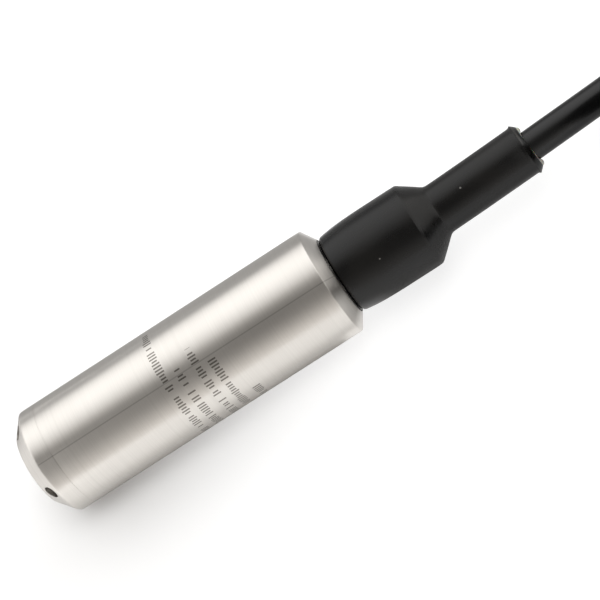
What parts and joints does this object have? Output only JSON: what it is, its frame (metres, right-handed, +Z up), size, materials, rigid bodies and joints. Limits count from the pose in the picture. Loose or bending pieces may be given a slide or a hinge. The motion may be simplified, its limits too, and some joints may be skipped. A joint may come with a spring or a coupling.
{
  "type": "submersible level transmitter",
  "caption": "Stainless steel hydrostatic level probe with a drilled cone nose, a sealed sensor and circuit inside, a black shrunk boot and a vented cable folded into a hank",
  "frame": {"origin": "on the surface the probe lies on, under the middle of the probe's length from nose face to boot mouth", "axes": "X along the probe, nose towards -X and cable towards +X; Z up from the surface"},
  "size_m": [0.3222, 0.0818, 0.0772],
  "materials": {
    "turned_steel": "fine turned, satin",
    "bright_steel": "machined, clean",
    "brass": "machined",
    "black_rubber": "satin, shrunk in place",
    "cable_jacket": "smooth, satin",
    "seal_rubber": "matte",
    "hot_glue": "set hot-melt glue",
    "board_green": "solder mask",
    "chip_black": "moulded",
    "trimmer_blue": "moulded",
    "ceramic": "glazed",
    "header_glass": "steel header with glass seals",
    "silicon": "polished die",
    "carrier_plastic": "moulded",
    "red_core": "extruded insulation",
    "black_core": "extruded insulation",
    "white_core": "extruded insulation",
    "yellow_core": "extruded insulation",
    "tinned_copper": "tinned",
    "clear_tube": "natural nylon",
    "tie_nylon": "moulded nylon",
    "filter_white": "porous vent cap"
  },
  "bodies": {
    "root": {"housing_tube": "turned_steel", "nose_cap": "turned_steel", "retaining_ring": "bright_steel", "sensor_body": "bright_steel", "sensor_o_ring": "seal_rubber", "diaphragm": "bright_steel", "diaphragm_weld_ring": "bright_steel", "sensor_header": "header_glass", "silicon_die": "silicon", "sensor_pin_1": "tinned_copper", "sensor_pin_2": "tinned_copper", "sensor_pin_3": "tinned_copper", "sensor_pin_4": "tinned_copper", "sensor_wire_1": "red_core", "sensor_wire_2": "white_core", "sensor_wire_3": "yellow_core", "sensor_wire_4": "black_core", "vent_capillary": "bright_steel", "spacer_sleeve": "bright_steel", "front_board_ring": "carrier_plastic", "rear_board_ring": "carrier_plastic", "circuit_board": "board_green", "amplifier_chip": "chip_black", "output_chip": "chip_black", "zero_trimmer": "trimmer_blue", "span_trimmer": "trimmer_blue", "surge_arrester": "ceramic", "supply_capacitor": "bright_steel", "cable_clamp": "brass", "cable_in_probe": "cable_jacket", "cable_core_red": "red_core", "cable_core_black": "black_core", "cable_core_white": "white_core", "vent_tube": "clear_tube", "shield_drain_wire": "tinned_copper", "rear_plug": "turned_steel", "rear_plug_o_ring": "seal_rubber", "gland_gasket": "seal_rubber", "gland_seal": "seal_rubber", "gland_washer": "bright_steel", "gland_nut": "brass", "boot": "black_rubber", "boot_glue": "hot_glue", "cable_run": "cable_jacket", "cable_hank": "cable_jacket", "hank_tie_1": "tie_nylon", "hank_tie_2": "tie_nylon", "cable_tail": "cable_jacket", "cable_end_sleeve": "black_rubber", "lead_red": "red_core", "lead_black": "black_core", "lead_white": "white_core", "lead_vent_tube": "clear_tube", "vent_filter": "filter_white"}
  },
  "joints": []
}
